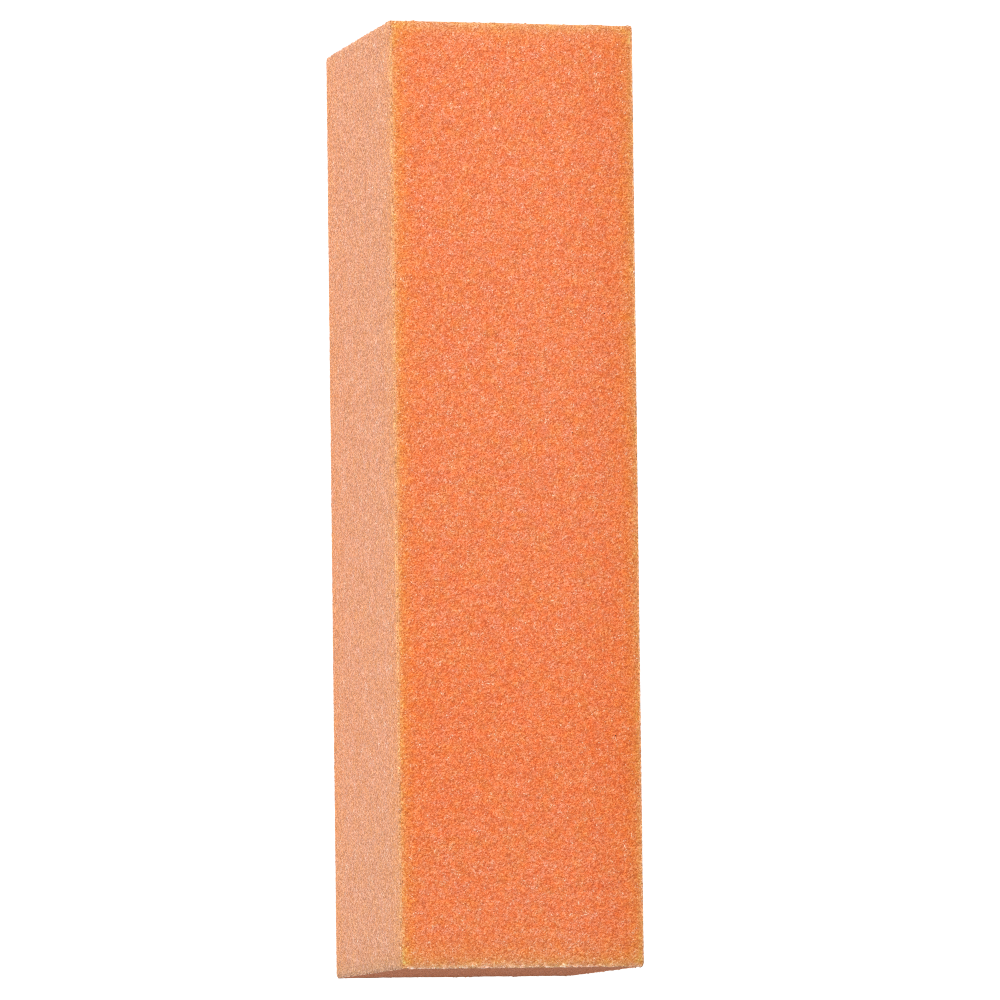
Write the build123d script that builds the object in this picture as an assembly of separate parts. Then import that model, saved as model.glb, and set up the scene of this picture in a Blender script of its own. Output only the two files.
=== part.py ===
"""Four-sided nail buffer block: a bar of soft closed-cell foam with an abrasive coat on each long side.

Frame: +Z up, +Y along the bar, origin at the centre of the face that the block lies on. Millimetres.

The top and bottom coats go on while the foam is still a wide slab, and they end where the slab is sawn
into bars. The left and right coats go on afterwards, so they also cover the edges of the other two. Each
coat has two layers: a bond coat of resin on the foam, and the grit with the size resin that locks it.
"""

import os

from build123d import *

# The finished block, over its coats
LENGTH = 95.25
WIDTH = 25.4
HEIGHT = 25.4

# The layers of one coat, from the foam outwards
BOND_THICKNESS = 0.10
COARSE_GRIT_THICKNESS = 0.26
FINE_GRIT_THICKNESS = 0.18

# The worn-in rounding along the four long edges
EDGE_RADIUS = 0.12

# The foam is what the coats leave of the block
CORE_WIDTH = WIDTH - 2 * (BOND_THICKNESS + FINE_GRIT_THICKNESS)
CORE_HEIGHT = HEIGHT - 2 * (BOND_THICKNESS + COARSE_GRIT_THICKNESS)


def bar(width, height, centre_x, centre_z):
    """A bar of the block's full length, centred on a point of its cross-section."""
    return Pos(centre_x, 0, centre_z) * Box(width, LENGTH, height)


def foam_core():
    """The sawn foam bar. Its two ends stay bare."""
    return bar(CORE_WIDTH, CORE_HEIGHT, 0, HEIGHT / 2)


def flat_coat(side):
    """The bond coat and the coarse grit over or under the foam, as wide as the foam. side is +1 for the top."""
    bond_z = HEIGHT / 2 + side * (CORE_HEIGHT + BOND_THICKNESS) / 2
    grit_z = HEIGHT / 2 + side * (HEIGHT - COARSE_GRIT_THICKNESS) / 2
    bond = bar(CORE_WIDTH, BOND_THICKNESS, 0, bond_z)
    grit = bar(CORE_WIDTH, COARSE_GRIT_THICKNESS, 0, grit_z)
    return bond, grit


def side_coat(side):
    """The bond coat and the fine grit on one flank, over the full height. side is +1 for the right."""
    bond_x = side * (CORE_WIDTH + BOND_THICKNESS) / 2
    grit_x = side * (WIDTH - FINE_GRIT_THICKNESS) / 2
    bond = bar(BOND_THICKNESS, HEIGHT, bond_x, HEIGHT / 2)
    grit = bar(FINE_GRIT_THICKNESS, HEIGHT, grit_x, HEIGHT / 2)
    long_edges = grit.edges().filter_by(Axis.Y).sort_by(Axis.X)
    outer_edges = long_edges[2:] if side > 0 else long_edges[:2]
    return bond, fillet(outer_edges, EDGE_RADIUS)


def build():
    """Every node of the block, by name."""
    nodes = {"foam_core": foam_core()}
    for name, side in (("bottom", -1), ("top", 1)):
        nodes[f"{name}_bond_coat"], nodes[f"{name}_coarse_grit"] = flat_coat(side)
    for name, side in (("left", -1), ("right", 1)):
        nodes[f"{name}_bond_coat"], nodes[f"{name}_fine_grit"] = side_coat(side)
    return nodes


os.makedirs("parts", exist_ok=True)
for node, solid in build().items():
    export_step(solid, f"parts/{node}.step")
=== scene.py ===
"""The looks of the nail buffer block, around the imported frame.

Each abrasive coat is a closed slab whose outer side is a field of grains, each bond coat is a thin
sheet of resin with an uneven rim, and the foam core shows its cut cells at the two ends. The block
lies on its back, so its broad orange face looks up at the camera.
"""

import math

import bpy
import numpy as np
from mathutils import Euler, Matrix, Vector


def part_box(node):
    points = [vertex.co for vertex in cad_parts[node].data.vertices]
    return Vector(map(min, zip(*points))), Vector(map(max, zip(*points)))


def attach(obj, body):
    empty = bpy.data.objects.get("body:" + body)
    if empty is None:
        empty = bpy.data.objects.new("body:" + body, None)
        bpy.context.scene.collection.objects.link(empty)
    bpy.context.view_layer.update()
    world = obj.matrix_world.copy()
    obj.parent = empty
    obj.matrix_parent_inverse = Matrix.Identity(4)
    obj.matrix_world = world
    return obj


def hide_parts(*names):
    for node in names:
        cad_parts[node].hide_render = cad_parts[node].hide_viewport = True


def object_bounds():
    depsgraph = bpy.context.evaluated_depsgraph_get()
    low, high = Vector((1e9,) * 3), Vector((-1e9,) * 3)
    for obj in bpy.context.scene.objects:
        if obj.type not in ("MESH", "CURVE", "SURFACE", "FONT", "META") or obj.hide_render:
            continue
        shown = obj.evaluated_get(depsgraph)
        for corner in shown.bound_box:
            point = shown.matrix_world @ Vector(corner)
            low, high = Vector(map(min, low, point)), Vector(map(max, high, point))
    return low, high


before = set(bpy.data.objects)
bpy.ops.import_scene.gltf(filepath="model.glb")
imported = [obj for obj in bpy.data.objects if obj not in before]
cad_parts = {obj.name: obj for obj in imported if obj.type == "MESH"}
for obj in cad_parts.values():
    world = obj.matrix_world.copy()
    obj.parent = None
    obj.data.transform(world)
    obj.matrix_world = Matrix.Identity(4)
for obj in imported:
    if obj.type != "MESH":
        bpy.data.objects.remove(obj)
cad_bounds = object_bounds()

MM = 0.001
BODY = "root"

# The coats, and which way each one faces
UP = Vector((0, 0, 1))
DOWN = Vector((0, 0, -1))
LEFT = Vector((-1, 0, 0))
RIGHT = Vector((1, 0, 0))
ALONG = Vector((0, 1, 0))
COARSE_COATS = {"top_coarse_grit": UP, "bottom_coarse_grit": DOWN}
FINE_COATS = {"left_fine_grit": LEFT, "right_fine_grit": RIGHT}
BOND_COATS = {
    "top_bond_coat": UP,
    "bottom_bond_coat": DOWN,
    "left_bond_coat": LEFT,
    "right_bond_coat": RIGHT,
}

# Where each kind of piece starts its random draws
COARSE_SEED = 10
FINE_SEED = 20
BOND_SEED = 30
FOAM_SEED = 40

# The real bar's small errors: ends a little out of square, a far end that is wider than the near one by
# this share, and faces that roll off at the borders
END_SKEW = 0.0079
FAR_TAPER = 0.0081
ROLL_DEPTH = 0.03 * MM
ROLL_WIDTH = 0.5 * MM

# Grains: how far apart they are, how far each strays from its place in pitches, and how much they differ in
# height. The power makes most of them low, and the highest stand proud of the CAD face
GRAIN_PITCH = 0.16 * MM
GRAIN_JITTER = 0.33
GRAIN_POWER = 1.5
COARSE_RELIEF = 0.062 * MM
FINE_RELIEF = 0.052 * MM
PROUD = 0.02 * MM

# A grain's height is its own, plus a share of its clump's and of the slow swell of the ground
GRAIN_SHARE = 0.78
CLUMP_SHARE = 0.10
CLUMP_SIZE = 0.7 * MM
SWELL_SHARE = 0.12
SWELL_SIZE = 6 * MM

# At the cut ends a coat crumbles away, by up to three times this depth
CRUMBLE_DEPTH = 0.03 * MM
CRUMBLE_SIZE = 0.5 * MM
CRUMBLE_WIDTH = 0.3 * MM

# A coat's rim wanders in and out, slowly and from grain to grain, and less so at the long edges
RAGGED_WANDER = 0.06 * MM
RAGGED_SIZE = 0.45 * MM
RAGGED_GRAIN = 0.04 * MM
RAGGED_AT_EDGES = 0.6

# The coarse coats' outer side hangs over the rim at the long edges, unevenly
SPILL = 0.05 * MM
RIGHT_SPILL = 0.15 * MM
SPILL_SPREAD = 0.1
SPILL_WANDER = 0.08 * MM
SPILL_SIZE = 1.3 * MM
SPILL_GRAIN = 0.02 * MM

# Down its cut rim, a coat bulges a little between its outer and its inner side
RIM_RINGS = 2
RIM_BULGE = 0.03 * MM
RIM_BULGE_SIZE = 1.1 * MM

# Bond coats: the rim's mesh, and how it swells. At the long edges it lies back, and swells less
BOND_STEP = 0.4 * MM
BOND_RECESS = 0.045 * MM
BOND_SWELL = 0.03 * MM
BOND_ROUGHNESS = 0.02 * MM
BOND_SWELL_AT_EDGES = 0.4

# A bond coat's rings of points: how far down its rim each one lies, and the swell there
BOND_RINGS = ((0, 0), (0.33, BOND_SWELL), (0.67, BOND_SWELL), (1, 0))

# Foam ends: the mesh, the open cells, two sizes of unevenness and the lines of the knife
FOAM_PITCH = 0.15 * MM
FOAM_JITTER = 0.3
CELL_DEPTH = 0.05 * MM
CELL_POWER = 3
FOAM_WAVE = 0.03 * MM
FOAM_WAVE_SIZE = 5 * MM
FOAM_RIPPLE = 0.015 * MM
FOAM_RIPPLE_SIZE = 1.2 * MM
KNIFE_LINE = 0.01 * MM
KNIFE_LINE_SIZE = 0.35 * MM
KNIFE_LINE_STRETCH = 0.15

# The bands of colour along the long edges stop short of the cut ends
BAND_GAP = 0.6 * MM
BAND_STOP = 2 * MM

# The coats' colour deepens a little around one place along the block
DRIFT_PLACE = -24 * MM
DRIFT_REACH = 13 * MM

# The camera: a long lens, far off, above the left and the near part of the block. Its place is given along
# its own axes, from the block's centre
CAMERA_LENS = 278.8
CAMERA_DISTANCE = 789.6 * MM
CAMERA_ASIDE = 1.741 * MM
CAMERA_ABOVE = 0.464 * MM
CAMERA_TURN = Euler((math.radians(5.680), math.radians(-15.792), math.radians(-0.723)), "XYZ")
CAMERA_CLIP = 10 * MM

# The studio, in metres and watts. The paper is a hair over white, so that dithering leaves it clean
FLOOR_REACH = 3.0
FLOOR_GREY = 0.62
FLOOR_ROUGHNESS = 0.9
FLOOR_GLOW = 0.88
PAPER_WHITE = 1.03
SKY_LIGHT = 0.30
KEY_DIRECTION = Vector((-0.28, 0.45, 0.85))
KEY_DISTANCE = 1.0
KEY_SIZE = 0.7
KEY_POWER = 10.8

# How many pixels one sample spreads over
PIXEL_FILTER = 1.0


# --- Looks -------------------------------------------------------------------------------------------

# Most of a noise lies between these
NOISE_LOW = 0.3
NOISE_HIGH = 0.7

# How many ever finer layers each noise has, above its coarsest
DUST_DETAIL = 1.0
PATCH_DETAIL = 2.0
FADE_DETAIL = 3.0
CLOUD_DETAIL = 4.0

# Both grits. The bands at the borders are stretched by the patches, and stray by some millimetres from grain
# to grain and with the faded patches
PATCH_SIZE = 1.3 * MM
BAND_STRETCH = 1.2
BAND_STRAY = 0.2
BAND_WANDER = 1.8

# The clearest grains take on most of the clear colour, above all in faded patches. Very few grains are dark
CLEAR_CLUSTER = 0.5
CLEAR_FROM = 0.97
CLEAR_TO = 1.1
CLEAR_MOST = 0.8
DARK_SHARE = 0.00004
DARK_COLOUR = (0.10, 0.03, 0.02)

# The small relief on the grains: the dust's share, and the depth in grains
DUST_BUMP = 0.6
BUMP_DEPTH = 0.3

# What each grit looks like. A grain's own tint, its height (the lift) and dust add up to its tone, and the
# tones are its colours. The bands are factors, at distances in millimetres from a border
COARSE_LOOK = {
    "grain": 0.105 * MM,
    "dust_size": 0.06 * MM,
    "tint": 0.5,
    "lift": 0.2,
    "dust": 0.25,
    "tones": [
        (0.07, (0.49, 0.076, 0.017)),
        (0.31, (0.705, 0.146, 0.037)),
        (0.50, (0.84, 0.210, 0.065)),
        (0.69, (0.94, 0.303, 0.130)),
        (0.83, (0.98, 0.445, 0.248)),
    ],
    "patches": [(0.0, (1.0, 0.96, 1.08)), (0.5, (1.0, 1.0, 1.0)), (1.0, (0.98, 1.03, 0.84))],
    "fade_size": 0.7 * MM,
    "fades": [(0.0, (1.06, 0.91, 0.68)), (0.5, (1.0, 1.0, 1.0)), (1.0, (0.95, 1.07, 1.32))],
    "drifts": [(0.0, (1.0, 1.025, 1.10)), (1.0, (1.01, 0.96, 0.90))],
    "bands": {
        "from_edge": [
            (0.0, (0.97, 1.60, 1.60)),
            (0.12, (0.98, 1.36, 1.20)),
            (0.28, (0.99, 1.20, 0.90)),
            (0.8, (1.0, 1.07, 0.78)),
            (1.6, (1.0, 1.0, 0.90)),
            (3.2, (1.0, 1.0, 1.0)),
        ],
        # Painted shade: the coarse coat grows darker, and a little golder, over the last 7 mm towards its
        # right long edge, most in the last millimetre, where the light falls off
        "shade_from_right": [
            (0.0, (0.90, 0.86, 0.82)),
            (0.4, (0.92, 0.88, 0.86)),
            (1.5, (0.96, 0.92, 0.88)),
            (3.5, (0.97, 0.93, 0.88)),
            (7.0, (1.0, 1.0, 1.0)),
        ],
        "from_near_end": [
            (0.0, (1.05, 2.40, 4.60)),
            (0.15, (0.97, 1.95, 3.00)),
            (0.35, (0.84, 1.36, 1.40)),
            (0.7, (0.89, 1.20, 1.14)),
            (1.3, (0.95, 1.11, 1.03)),
            (2.5, (0.97, 1.04, 1.0)),
            (3.5, (1.0, 1.0, 1.0)),
        ],
        "from_far_end": [
            (0.0, (0.95, 1.65, 2.00)),
            (0.3, (0.95, 1.50, 1.68)),
            (0.6, (0.98, 1.32, 1.38)),
            (0.9, (1.0, 1.20, 1.22)),
            (1.5, (1.0, 1.05, 1.03)),
            (2.5, (1.0, 1.0, 1.0)),
        ],
    },
    "clear_colour": (1.0, 0.78, 0.54),
    "bump": 0.25,
    "shine": 0.25,
    "rough": (0.30, 0.70),
}
FINE_LOOK = {
    "grain": 0.13 * MM,
    "dust_size": 0.07 * MM,
    "tint": 0.5,
    "lift": 0.2,
    "dust": 0.25,
    "tones": [
        (0.09, (0.34, 0.115, 0.043)),
        (0.315, (0.53, 0.195, 0.085)),
        (0.495, (0.70, 0.280, 0.135)),
        (0.675, (0.85, 0.385, 0.212)),
        (0.81, (0.98, 0.515, 0.315)),
    ],
    "patches": [(0.0, (1.0, 0.98, 1.04)), (0.5, (1.0, 1.0, 1.0)), (1.0, (0.99, 1.01, 0.92))],
    "fade_size": 1.2 * MM,
    "fades": [(0.0, (1.01, 0.97, 0.84)), (0.5, (1.0, 1.0, 1.0)), (1.0, (0.99, 1.03, 1.15))],
    "drifts": [(0.0, (1.0, 1.01, 1.01)), (1.0, (0.99, 0.99, 0.98))],
    "bands": {
        "from_edge": [
            (0.0, (1.22, 1.42, 1.33)),
            (0.1, (1.06, 1.085, 0.87)),
            (0.4, (1.03, 1.0, 0.81)),
            (1.0, (1.02, 0.995, 0.85)),
            (2.5, (1.005, 1.0, 0.92)),
            (4.5, (1.0, 1.0, 1.0)),
        ],
        # Painted shade: the fine coats grow darker towards the near end, away from the light, faintly from 20
        # mm off and most within the last 1.5 mm
        "from_near_end": [
            (0.0, (0.76, 0.90, 0.95)),
            (0.3, (0.81, 0.93, 0.96)),
            (0.8, (0.85, 0.94, 0.96)),
            (1.4, (0.92, 0.97, 0.98)),
            (4.0, (0.955, 0.99, 1.01)),
            (12.0, (0.97, 1.0, 1.02)),
            (20.0, (1.0, 1.0, 1.0)),
        ],
        "from_far_end": [
            (0.0, (1.05, 1.15, 1.20)),
            (0.5, (1.0, 1.04, 1.05)),
            (1.5, (1.0, 1.0, 1.0)),
        ],
    },
    "clear_colour": (1.0, 0.85, 0.70),
    "bump": 0.2,
    "shine": 0.12,
    "rough": (0.35, 0.75),
}
RESIN_LOOK = {
    "cloud_size": 0.5 * MM,
    "tones": [(0.3, (0.76, 0.30, 0.11)), (0.5, (0.84, 0.37, 0.15)), (0.7, (0.90, 0.46, 0.22))],
    "bump": 0.5,
    "bump_depth": 0.03 * MM,
    "rough": (0.3, 0.5),
}
FOAM_LOOK = {
    "cell": 0.3 * MM,
    # A cell's middle and a deep dimple take the darker tones: painted shade in the hollows, with the pale
    # tone on the cell walls
    "wall": 0.6,
    "pit": 0.5,
    "tones": [(0.0, (0.52, 0.174, 0.074)), (0.45, (0.42, 0.129, 0.053)), (1.0, (0.24, 0.066, 0.024))],
    "cloud_size": 3 * MM,
    "clouds": [(0.3, (0.92, 0.9, 0.88)), (0.7, (1.0, 1.0, 1.0))],
    "bump": 0.6,
    "bump_depth": 0.05 * MM,
    "shine": 0.2,
    "rough": (0.8, 0.95),
}


# --- Numbers -----------------------------------------------------------------------------------------

def soft_noise(x, y, cell, rng):
    """Smooth noise from -1 to 1 at points x, y: random values at a lattice's corners, blended between."""
    column = (x - x.min()) / cell
    row = (y - y.min()) / cell
    i = np.floor(column).astype(int)
    j = np.floor(row).astype(int)
    lattice = rng.uniform(-1, 1, (i.max() + 2, j.max() + 2))
    s = column - i
    t = row - j
    s = s * s * (3 - 2 * s)
    t = t * t * (3 - 2 * t)
    low = lattice[i, j] * (1 - s) + lattice[i + 1, j] * s
    high = lattice[i, j + 1] * (1 - s) + lattice[i + 1, j + 1] * s
    return low * (1 - t) + high * t


def towards_border(distance, width):
    """1 at a border, falling smoothly to 0 at that width from it."""
    t = np.clip(1 - distance / width, 0, 1)
    return t * t * (3 - 2 * t)


# --- Meshes ------------------------------------------------------------------------------------------

class Layer:
    """Where a CAD layer lies: its outward side, with the axes across it, along the block and outwards."""

    def __init__(self, node, outward):
        low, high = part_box(node)
        centre = (low + high) / 2
        span = high - low
        self.outward = np.array(outward)
        self.along = np.array(ALONG)
        self.across = np.array(ALONG.cross(outward))
        self.width = abs(float(np.dot(span, self.across)))
        self.length = span.y
        self.thickness = abs(float(np.dot(span, self.outward)))
        self.centre = np.array(centre) + self.outward * self.thickness / 2

    def grid(self, pitch):
        """Places u across and v along the layer, about that far apart, from border to border."""
        across = np.linspace(-self.width / 2, self.width / 2, round(self.width / pitch) + 1)
        along = np.linspace(-self.length / 2, self.length / 2, round(self.length / pitch) + 1)
        return np.meshgrid(across, along, indexing="ij")

    def ways_out(self, u, v, pitch):
        """Which way is out, across and along: 1 or -1 for places on a border, 0 for the others."""
        out_u = np.sign(u) * (self.width / 2 - np.abs(u) < 0.5 * pitch)
        out_v = np.sign(v) * (self.length / 2 - np.abs(v) < 0.5 * pitch)
        return out_u, out_v

    def points(self, u, v, w):
        """Points at u across, v along and w outwards from the middle of the layer's outer side."""
        u, v, w = (np.asarray(a, float).reshape(-1, 1) for a in (u, v, w))
        return self.centre + u * self.across + v * self.along + w * self.outward


def as_real(points):
    """Points of the true box, moved to where the real, slightly uneven bar has them."""
    low, high = (np.array(corner) for corner in cad_bounds)
    middle = (low + high) / 2
    half = (high - low) / 2
    p = np.asarray(points, float) - middle

    # Near a border a face sinks a little
    roll = ROLL_DEPTH * np.clip(1 - (half - np.abs(p)) / ROLL_WIDTH, 0, 1) ** 2
    others = roll.sum(1, keepdims=True) - roll
    x, y, z = (p * (1 - others / half)).T
    x = x * (1 + FAR_TAPER * y / (2 * half[1]))
    y = y + END_SKEW * x

    # Nothing reaches below the surface that the block lies on
    z = np.maximum(z, -half[2])
    return np.stack([x, y, z], 1) + middle


def mesh_object(name, points, faces, attributes=None):
    """A new mesh object from points and faces, with a number at each point for each named attribute."""
    mesh = bpy.data.meshes.new(name)
    mesh.from_pydata(np.asarray(points).tolist(), [], faces)
    for key, values in (attributes or {}).items():
        layer = mesh.attributes.new(key, "FLOAT", "POINT")
        layer.data.foreach_set("value", np.asarray(values, np.float32))
    mesh.update()
    made = bpy.data.objects.new(name, mesh)
    bpy.context.scene.collection.objects.link(made)
    return made


def grid_faces(columns, rows, rng):
    """The triangles of a grid of points, each square split along a random diagonal."""
    a = (np.arange(columns - 1)[:, None] * rows + np.arange(rows - 1)[None, :]).ravel()
    b, c, d = a + rows, a + rows + 1, a + 1
    flip = rng.random(a.size) < 0.5
    first = np.where(flip[:, None], np.stack([a, b, d], 1), np.stack([a, b, c], 1))
    second = np.where(flip[:, None], np.stack([b, c, d], 1), np.stack([a, c, d], 1))
    return np.concatenate([first, second]).tolist()


def border_indices(columns, rows):
    """The points around a grid's border, counterclockwise."""
    near = [i * rows for i in range(columns)]
    right = [(columns - 1) * rows + j for j in range(1, rows)]
    far = [i * rows + rows - 1 for i in range(columns - 2, -1, -1)]
    left = [j for j in range(rows - 2, 0, -1)]
    return near + right + far + left


def between_rings(upper, lower):
    """The four-sided faces between two rings of points."""
    following = [(k + 1) % len(upper) for k in range(len(upper))]
    return [(upper[k], lower[k], lower[n], upper[n]) for k, n in enumerate(following)]


def grain_heights(u, v, from_end, relief, rng):
    """How high each grain stands within the relief, and the height of the coat's outer side there."""
    grain = rng.random(u.shape) ** GRAIN_POWER
    clump = 0.5 + 0.5 * soft_noise(u, v, CLUMP_SIZE, rng)
    swell = 0.5 + 0.5 * soft_noise(u, v, SWELL_SIZE, rng)
    w = (GRAIN_SHARE * grain + CLUMP_SHARE * clump + SWELL_SHARE * swell - 1) * relief
    crumble = 1 + soft_noise(u, v, CRUMBLE_SIZE, rng) + rng.random(u.shape)
    return grain, w - CRUMBLE_DEPTH * crumble * towards_border(from_end, CRUMBLE_WIDTH)


def overhang(u, v, spills, rng):
    """How far the grains at the left or the right long edge hang over the rim."""
    reach = np.where(u > 0, spills[1], spills[0]) * rng.uniform(1 - SPILL_SPREAD, 1 + SPILL_SPREAD, u.shape)
    wander = SPILL_WANDER * soft_noise(u, v, SPILL_SIZE, rng)
    wander += rng.uniform(-SPILL_GRAIN, SPILL_GRAIN, u.shape)
    return reach + (max(spills) > 0) * wander


def stray_places(u, v, out_u, out_v, spills, rng):
    """The grains' places, strayed inside the coat and ragged at its borders, and each one's overhang."""
    inside = (out_u == 0) & (out_v == 0)
    shift = GRAIN_JITTER * GRAIN_PITCH
    ragged = RAGGED_WANDER * soft_noise(u, v, RAGGED_SIZE, rng) + RAGGED_GRAIN * rng.uniform(-1, 1, u.shape)
    u = u + np.where(inside, rng.uniform(-shift, shift, u.shape), 0)
    v = v + np.where(inside, rng.uniform(-shift, shift, v.shape), 0)
    reach = overhang(u, v, spills, rng)
    u = u + out_u * (reach + RAGGED_AT_EDGES * ragged)
    v = v + out_v * ragged
    return u, v, reach


def rim_rings(thickness, u, v, w, out_u, out_v, reach, rng):
    """The rings of points under a coat's outer border, down its cut rim to its flat inner side."""
    slow_bulge = RIM_BULGE * soft_noise(u, v, RIM_BULGE_SIZE, rng)
    rings = []
    for ring in range(1, RIM_RINGS + 2):
        part = ring / (RIM_RINGS + 1)
        bulge = (slow_bulge + rng.uniform(-RIM_BULGE, RIM_BULGE, len(u))) * (ring <= RIM_RINGS)
        ring_u = u + out_u * (bulge - reach * part)
        ring_v = v + out_v * bulge
        ring_w = w * (1 - part) - thickness * part
        rings.append((ring_u, ring_v, ring_w))
    return rings


def slab_faces(columns, rows, rng):
    """The faces of a coat's outer side, its rim and its inner side."""
    faces = grid_faces(columns, rows, rng)
    border = border_indices(columns, rows)
    rings = [border]
    for first in range(columns * rows, columns * rows + (RIM_RINGS + 1) * len(border), len(border)):
        rings.append(list(range(first, first + len(border))))
    for upper, lower in zip(rings, rings[1:]):
        for a, b, c, d in between_rings(upper, lower):
            faces += [(a, b, c), (a, c, d)]
    faces.append(tuple(reversed(rings[-1])))
    return faces


def coat_numbers(layer, u, v, heights):
    """What the material reads at each point.

    They are how high the grain stands, how many millimetres off each border is, and how much the coat's
    colour deepens there.
    """
    short_of_ends = BAND_STOP * towards_border(layer.length / 2 - np.abs(v), BAND_GAP)
    return {
        "height": heights,
        "from_edge": (layer.width / 2 - np.abs(u) + short_of_ends) / MM,
        # The coarse coats' painted shade at the right long edge is laid out by this distance
        "shade_from_right": (layer.width / 2 - u) / MM,
        "from_near_end": (layer.length / 2 + v) / MM,
        "from_far_end": (layer.length / 2 - v) / MM,
        "drift": np.exp(-((v - DRIFT_PLACE) / DRIFT_REACH) ** 2),
    }


def grit_slab(name, node, outward, relief, spills, seed):
    """One abrasive coat: a dense field of grains on the outer side, grainy cut rims and a flat inner side.

    spills are how far its grains hang over at the left and the right long edge.
    """
    rng = np.random.default_rng(seed)
    layer = Layer(node, outward)
    u, v = layer.grid(GRAIN_PITCH)
    out_u, out_v = layer.ways_out(u, v, GRAIN_PITCH)

    # The outer side. The bottom coat's isn't proud, because the block lies on it
    grain, w = grain_heights(u, v, layer.length / 2 - np.abs(v), relief, rng)
    w = w + (0 if outward == DOWN else PROUD)
    u, v, reach = stray_places(u, v, out_u, out_v, spills, rng)

    # The cut rim and the inner side
    border = border_indices(*u.shape)
    at_border = (a.ravel()[border] for a in (u, v, w, out_u, out_v, reach))
    rings = rim_rings(layer.thickness, *at_border, rng)
    outer = (u.ravel(), v.ravel(), w.ravel())
    all_u, all_v, all_w = (np.concatenate(places) for places in zip(outer, *rings))
    faces = slab_faces(*u.shape, rng)

    heights = np.concatenate([grain.ravel(), rng.random(len(all_u) - grain.size)])
    points = as_real(layer.points(all_u, all_v, all_w))
    return mesh_object(name, points, faces, coat_numbers(layer, all_u, all_v, heights))


def bond_sheet(name, node, outward, seed):
    """One bond coat: a thin resin sheet whose rim swells and shrinks a little along the cut."""
    rng = np.random.default_rng(seed)
    layer = Layer(node, outward)
    u, v = layer.grid(BOND_STEP)
    border = border_indices(*u.shape)
    u = u.ravel()[border]
    v = v.ravel()[border]
    out_u, out_v = layer.ways_out(u, v, BOND_STEP)
    places, rings = [], []
    for part, swell in BOND_RINGS:
        bulge = swell + rng.uniform(-BOND_ROUGHNESS, BOND_ROUGHNESS, len(border))
        ring_u = u + out_u * (BOND_SWELL_AT_EDGES * bulge - BOND_RECESS)
        ring_v = v + out_v * bulge
        places.append(layer.points(ring_u, ring_v, np.full(len(border), -layer.thickness * part)))
        first = len(rings) * len(border)
        rings.append(range(first, first + len(border)))
    faces = [tuple(rings[0]), tuple(reversed(rings[-1]))]
    for upper, lower in zip(rings, rings[1:]):
        faces += between_rings(upper, lower)
    return mesh_object(name, as_real(np.concatenate(places)), faces)


def foam_bar(name, node, seed):
    """The foam core: plain flanks under the coats, and two cut ends with open cells and faint knife lines."""
    rng = np.random.default_rng(seed)
    low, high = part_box(node)
    columns = round((high.x - low.x) / FOAM_PITCH) + 1
    rows = round((high.z - low.z) / FOAM_PITCH) + 1
    x, z = np.meshgrid(np.linspace(low.x, high.x, columns), np.linspace(low.z, high.z, rows), indexing="ij")

    # The points stray from their places, but not at the border
    border = border_indices(columns, rows)
    shift = np.full(columns * rows, FOAM_JITTER * FOAM_PITCH)
    shift[border] = 0
    shift = shift.reshape(x.shape)

    # Each cut end, and how far behind the cut its points lie
    points, faces, pits, rings = [], [], [], []
    for side, end in ((-1, low.y), (1, high.y)):
        cells = rng.random(x.shape) ** CELL_POWER
        depth = CELL_DEPTH * cells
        depth -= FOAM_WAVE * soft_noise(x, z, FOAM_WAVE_SIZE, rng)
        depth -= FOAM_RIPPLE * soft_noise(x, z, FOAM_RIPPLE_SIZE, rng)
        depth -= KNIFE_LINE * soft_noise(x * KNIFE_LINE_STRETCH, z, KNIFE_LINE_SIZE, rng)
        px = x + rng.uniform(-1, 1, x.shape) * shift
        pz = z + rng.uniform(-1, 1, x.shape) * shift
        first = len(points) * x.size
        points.append(np.stack([px.ravel(), (end - side * depth).ravel(), pz.ravel()], 1))
        pits.append(cells.ravel())
        made = np.array(grid_faces(columns, rows, rng)) + first
        faces += (made if side < 0 else made[:, ::-1]).tolist()
        rings.append([first + k for k in border])
    faces += between_rings(*rings)
    # How deep each point's cell dimple is goes to the material, which darkens the deeper ones as painted
    # shade
    return mesh_object(name, as_real(np.concatenate(points)), faces, {"pit": np.concatenate(pits)})


# --- Materials ---------------------------------------------------------------------------------------

def add(tree, kind, sockets=None, **settings):
    """A new node, with its settings, and its inputs linked or set."""
    made = tree.nodes.new(kind)
    for key, value in settings.items():
        setattr(made, key, value)
    for key, value in (sockets or {}).items():
        if isinstance(value, bpy.types.NodeSocket):
            tree.links.new(value, made.inputs[key])
        else:
            made.inputs[key].default_value = value
    return made


def maths(tree, operation, first, second=0.0):
    """One calculation with two values or sockets."""
    return add(tree, "ShaderNodeMath", {0: first, 1: second}, operation=operation).outputs[0]


def ramp(tree, factor, stops):
    """A colour ramp with the given (place, colour) stops."""
    made = add(tree, "ShaderNodeValToRGB", {0: factor})
    elements = made.color_ramp.elements
    while len(elements) > 1:
        elements.remove(elements[-1])
    first_place, first_colour = stops[0]
    elements[0].position = first_place
    elements[0].color = (*first_colour, 1)
    for place, colour in stops[1:]:
        elements.new(place).color = (*colour, 1)
    return made.outputs[0]


def mix(tree, factor, first, second, blend="MIX"):
    """Two colours mixed. The node's colours are its inputs 6 and 7 and its output 2."""
    made = add(tree, "ShaderNodeMix", data_type="RGBA", blend_type=blend)
    for index, value in ((0, factor), (6, first), (7, second)):
        if isinstance(value, bpy.types.NodeSocket):
            tree.links.new(value, made.inputs[index])
        elif index == 0:
            made.inputs[index].default_value = value
        else:
            made.inputs[index].default_value = (*value, 1)
    return made.outputs[2]


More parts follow.
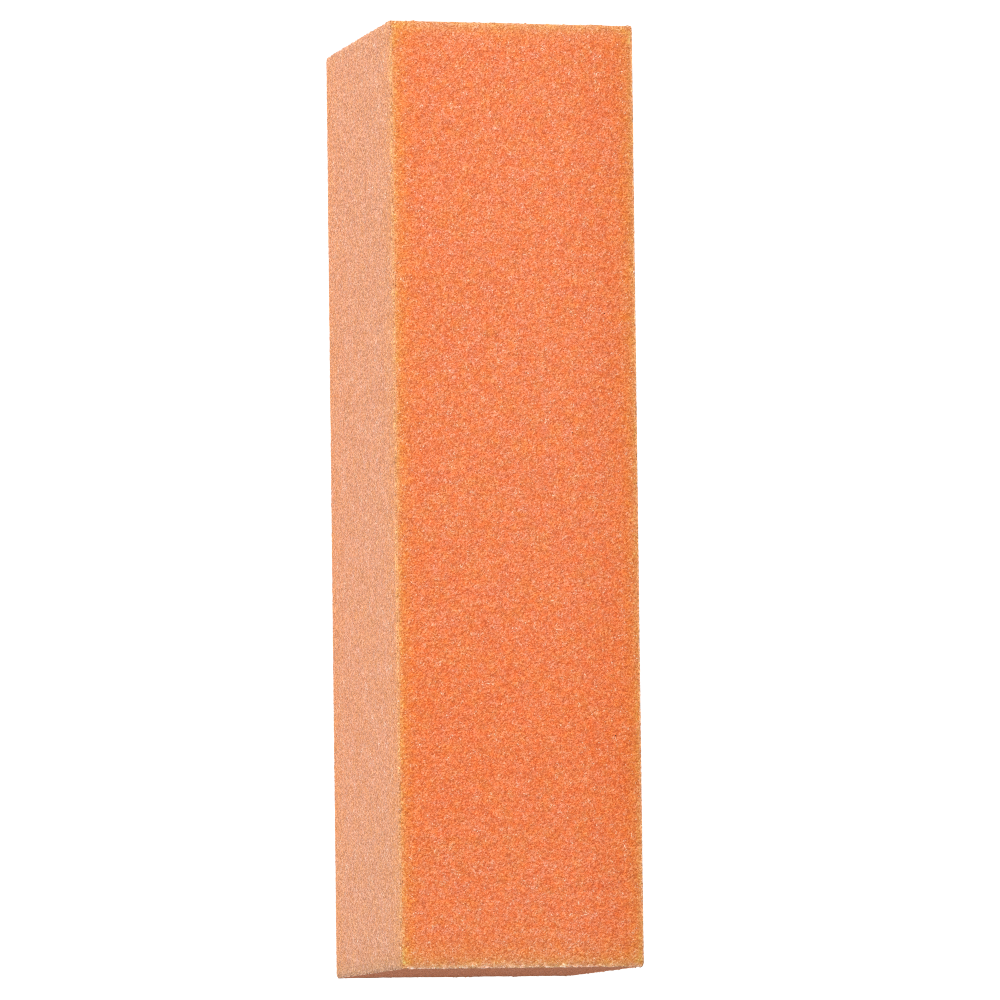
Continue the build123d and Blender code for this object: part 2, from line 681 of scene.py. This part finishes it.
def spread(tree, value, low, high, to_low=0.0, to_high=1.0):
    """A value taken from one range to another, and kept inside it."""
    sockets = {"Value": value, "From Min": low, "From Max": high, "To Min": to_low, "To Max": to_high}
    return add(tree, "ShaderNodeMapRange", sockets).outputs[0]


def place_in_space(tree):
    """Where a point of the surface is, in metres."""
    return add(tree, "ShaderNodeTexCoord").outputs["Object"]


def attribute(tree, name):
    """The number that the mesh carries under that name."""
    return add(tree, "ShaderNodeAttribute", attribute_name=name).outputs["Fac"]


def noise(tree, place, size, detail):
    """Noise with features of about that size."""
    return add(tree, "ShaderNodeTexNoise", {"Vector": place, "Scale": 1 / size, "Detail": detail}).outputs[0]


def off_middle(tree, value, amount):
    """How far a value is from 0.5, times an amount."""
    return maths(tree, "MULTIPLY", maths(tree, "SUBTRACT", value, 0.5), amount)


def tinted(tree, colour, factors):
    """A colour times another."""
    return mix(tree, 1.0, colour, factors, "MULTIPLY")


def bumped(tree, height, strength, depth):
    """The surface's direction, with a small relief that only the light sees."""
    sockets = {"Height": height, "Strength": strength, "Distance": depth}
    return add(tree, "ShaderNodeBump", sockets).outputs[0]


def new_material(name):
    """A material with a plain shader, and its node tree."""
    material = bpy.data.materials.new(name)
    material.use_nodes = True
    tree = material.node_tree
    return material, tree, tree.nodes["Principled BSDF"]


def border_tint(tree, colour, distance, stops):
    """The colour, tinted by how many millimetres it lies from a border."""
    reach = stops[-1][0]
    shares = [(place / reach, factors) for place, factors in stops]
    return tinted(tree, colour, ramp(tree, spread(tree, distance, 0.0, reach), shares))


def grain_tone(tree, look, tint, dust):
    """How light a grain is: its own tint, how high it stands, and a little dust."""
    tone = maths(tree, "MULTIPLY", tint, look["tint"])
    tone = maths(tree, "ADD", tone, maths(tree, "MULTIPLY", attribute(tree, "height"), look["lift"]))
    return maths(tree, "ADD", tone, maths(tree, "MULTIPLY", dust, look["dust"]))


def banded(tree, colour, look, tint, patches, fade):
    """The colour, with uneven bands along the long edges and the cut ends, some of them painted shade."""
    stretch = maths(tree, "ADD", off_middle(tree, patches, BAND_STRETCH), 1.0)
    stray = maths(tree, "ADD", off_middle(tree, tint, BAND_STRAY), off_middle(tree, fade, BAND_WANDER))
    for border, stops in look["bands"].items():
        distance = maths(tree, "MULTIPLY", attribute(tree, border), stretch)
        colour = border_tint(tree, colour, maths(tree, "ADD", distance, stray), stops)
    return colour


def with_odd_grains(tree, colour, look, clearness, dark_draw, fade):
    """The colour, with a few clear grains that shine nearly white, and very few dark ones."""
    clearness = maths(tree, "ADD", clearness, off_middle(tree, fade, CLEAR_CLUSTER))
    clear = spread(tree, clearness, CLEAR_FROM, CLEAR_TO, 0.0, CLEAR_MOST)
    colour = mix(tree, clear, colour, look["clear_colour"])
    return mix(tree, maths(tree, "LESS_THAN", dark_draw, DARK_SHARE), colour, DARK_COLOUR)


def grit_material(name, look):
    """An abrasive coat: resin-bound grains, each with its own tint, on mottled ground with banded borders."""
    material, tree, shader = new_material(name)
    place = place_in_space(tree)
    grains = add(tree, "ShaderNodeTexVoronoi", {"Vector": place, "Scale": 1 / look["grain"]})
    dust = noise(tree, place, look["dust_size"], DUST_DETAIL)
    patches = noise(tree, place, PATCH_SIZE, PATCH_DETAIL)
    fade = noise(tree, place, look["fade_size"], FADE_DETAIL)

    # Each grain's random colour gives it three random numbers
    tint, clearness, dark_draw = add(tree, "ShaderNodeSeparateColor", {0: grains.outputs["Color"]}).outputs
    colour = ramp(tree, grain_tone(tree, look, tint, dust), look["tones"])

    # Patches lean to pink or to gold, smaller ones are deep or faded, and one stretch of the block is deeper
    colour = tinted(tree, colour, ramp(tree, spread(tree, patches, NOISE_LOW, NOISE_HIGH), look["patches"]))
    colour = tinted(tree, colour, ramp(tree, spread(tree, fade, NOISE_LOW, NOISE_HIGH), look["fades"]))
    colour = tinted(tree, colour, ramp(tree, attribute(tree, "drift"), look["drifts"]))
    colour = banded(tree, colour, look, tint, patches, fade)
    colour = with_odd_grains(tree, colour, look, clearness, dark_draw, fade)

    dome = maths(tree, "SUBTRACT", 1.0, grains.outputs["Distance"])
    bumps = maths(tree, "ADD", dome, maths(tree, "MULTIPLY", dust, DUST_BUMP))
    relief = bumped(tree, bumps, look["bump"], BUMP_DEPTH * look["grain"])
    gloss = spread(tree, clearness, 0.0, 1.0, *look["rough"])
    shader.inputs["Specular IOR Level"].default_value = look["shine"]
    tree.links.new(colour, shader.inputs["Base Color"])
    tree.links.new(gloss, shader.inputs["Roughness"])
    tree.links.new(relief, shader.inputs["Normal"])
    return material


def resin_material(name, look):
    """The bond coat: cured amber resin with foam colour showing through."""
    material, tree, shader = new_material(name)
    cloud = noise(tree, place_in_space(tree), look["cloud_size"], CLOUD_DETAIL)
    gloss = spread(tree, cloud, NOISE_LOW, NOISE_HIGH, *look["rough"])
    tree.links.new(ramp(tree, cloud, look["tones"]), shader.inputs["Base Color"])
    tree.links.new(gloss, shader.inputs["Roughness"])
    tree.links.new(bumped(tree, cloud, look["bump"], look["bump_depth"]), shader.inputs["Normal"])
    return material


def foam_material(name, look):
    """Closed-cell foam, cut by a blade: fine cells with thin pale walls, painted shade in the cells' hollows
    and deeper dimples, and slow changes of colour.
    """
    material, tree, shader = new_material(name)
    place = place_in_space(tree)
    cells = add(tree, "ShaderNodeTexVoronoi", {"Vector": place, "Scale": 1 / look["cell"]}, feature="F1")
    cloud = noise(tree, place, look["cloud_size"], CLOUD_DETAIL)
    # Painted shade: the nearer the middle of a cell's hollow, and the deeper its dimple in the cut end, the
    # darker the foam
    wall = maths(tree, "SUBTRACT", look["wall"], cells.outputs["Distance"])
    depth = maths(tree, "ADD", maths(tree, "MULTIPLY", attribute(tree, "pit"), look["pit"]), wall)
    colour = ramp(tree, depth, look["tones"])
    colour = tinted(tree, colour, ramp(tree, cloud, look["clouds"]))
    relief = bumped(tree, cells.outputs["Distance"], look["bump"], look["bump_depth"])
    gloss = spread(tree, cloud, NOISE_LOW, NOISE_HIGH, *look["rough"])
    shader.inputs["Specular IOR Level"].default_value = look["shine"]
    tree.links.new(colour, shader.inputs["Base Color"])
    tree.links.new(gloss, shader.inputs["Roughness"])
    tree.links.new(relief, shader.inputs["Normal"])
    return material


# --- The pieces --------------------------------------------------------------------------------------

def finish_piece(piece, node, material):
    """The piece stands for its CAD node, with its material, and moves with the block."""
    piece.data.materials.append(material)
    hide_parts(node)
    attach(piece, BODY)


def build_block():
    """Every piece of the block."""
    coarse = grit_material("coarse_grit", COARSE_LOOK)
    fine = grit_material("fine_grit", FINE_LOOK)
    resin = resin_material("bond_resin", RESIN_LOOK)
    foam = foam_material("foam", FOAM_LOOK)
    for seed, (node, outward) in enumerate(COARSE_COATS.items(), COARSE_SEED):
        slab = grit_slab(node + "_coat", node, outward, COARSE_RELIEF, (SPILL, RIGHT_SPILL), seed)
        finish_piece(slab, node, coarse)
    for seed, (node, outward) in enumerate(FINE_COATS.items(), FINE_SEED):
        slab = grit_slab(node + "_coat", node, outward, FINE_RELIEF, (0, 0), seed)
        finish_piece(slab, node, fine)
    for seed, (node, outward) in enumerate(BOND_COATS.items(), BOND_SEED):
        sheet = bond_sheet(node + "_resin", node, outward, seed)
        finish_piece(sheet, node, resin)
    core = foam_bar("foam_core_bar", "foam_core", FOAM_SEED)
    finish_piece(core, "foam_core", foam)


# --- The studio --------------------------------------------------------------------------------------

def add_camera():
    """The camera, looking down the long lens at the block."""
    low, high = (Vector(corner) for corner in cad_bounds)
    middle = (low + high) / 2
    turn = CAMERA_TURN.to_matrix()
    camera = bpy.data.objects.new("camera", bpy.data.cameras.new("camera"))
    camera.data.lens = CAMERA_LENS
    camera.data.clip_start = CAMERA_CLIP
    camera.location = middle + turn @ Vector((CAMERA_ASIDE, CAMERA_ABOVE, CAMERA_DISTANCE))
    camera.rotation_euler = CAMERA_TURN
    bpy.context.scene.collection.objects.link(camera)
    bpy.context.scene.camera = camera


def add_key_light():
    """A soft square light, high above the far left of the block."""
    light = bpy.data.lights.new("key", "AREA")
    light.shape = "SQUARE"
    light.size = KEY_SIZE
    light.energy = KEY_POWER
    holder = bpy.data.objects.new("key", light)
    away = KEY_DIRECTION.normalized()
    holder.location = away * KEY_DISTANCE
    holder.rotation_euler = away.to_track_quat("Z", "Y").to_euler()
    holder.visible_camera = False
    bpy.context.scene.collection.objects.link(holder)


def add_floor():
    """A pale floor that lights the block's sides. The camera sees it as plain white paper."""
    corners = [(-1, -1), (1, -1), (1, 1), (-1, 1)]
    points = [(x * FLOOR_REACH, y * FLOOR_REACH, 0) for x, y in corners]
    floor = mesh_object("studio_floor", points, [(0, 1, 2, 3)])
    material, tree, shader = new_material("studio_floor")
    shader.inputs["Base Color"].default_value = (FLOOR_GREY, FLOOR_GREY, FLOOR_GREY, 1)
    shader.inputs["Roughness"].default_value = FLOOR_ROUGHNESS
    shader.inputs["Emission Color"].default_value = (1, 1, 1, 1)
    shader.inputs["Emission Strength"].default_value = FLOOR_GLOW
    paper = add(tree, "ShaderNodeEmission", {"Color": (1, 1, 1, 1), "Strength": PAPER_WHITE})
    seen = add(tree, "ShaderNodeLightPath").outputs["Is Camera Ray"]
    both = add(tree, "ShaderNodeMixShader", {0: seen, 1: shader.outputs[0], 2: paper.outputs[0]})
    tree.links.new(both.outputs[0], tree.nodes["Material Output"].inputs["Surface"])
    floor.data.materials.append(material)


def add_sky():
    """A dim white surround, which the camera sees as white."""
    world = bpy.data.worlds.new("studio")
    world.use_nodes = True
    tree = world.node_tree
    sky = tree.nodes["Background"]
    seen = add(tree, "ShaderNodeLightPath").outputs["Is Camera Ray"]
    sky.inputs["Color"].default_value = (1, 1, 1, 1)
    tree.links.new(spread(tree, seen, 0.0, 1.0, SKY_LIGHT, 1.0), sky.inputs["Strength"])
    bpy.context.scene.world = world


def add_studio():
    """The floor, the surround, the light, and how the picture is developed."""
    add_floor()
    add_sky()
    add_key_light()
    bpy.context.scene.view_settings.view_transform = "Standard"
    bpy.context.scene.cycles.use_denoising = False
    bpy.context.scene.cycles.filter_width = PIXEL_FILTER


build_block()
add_camera()
add_studio()
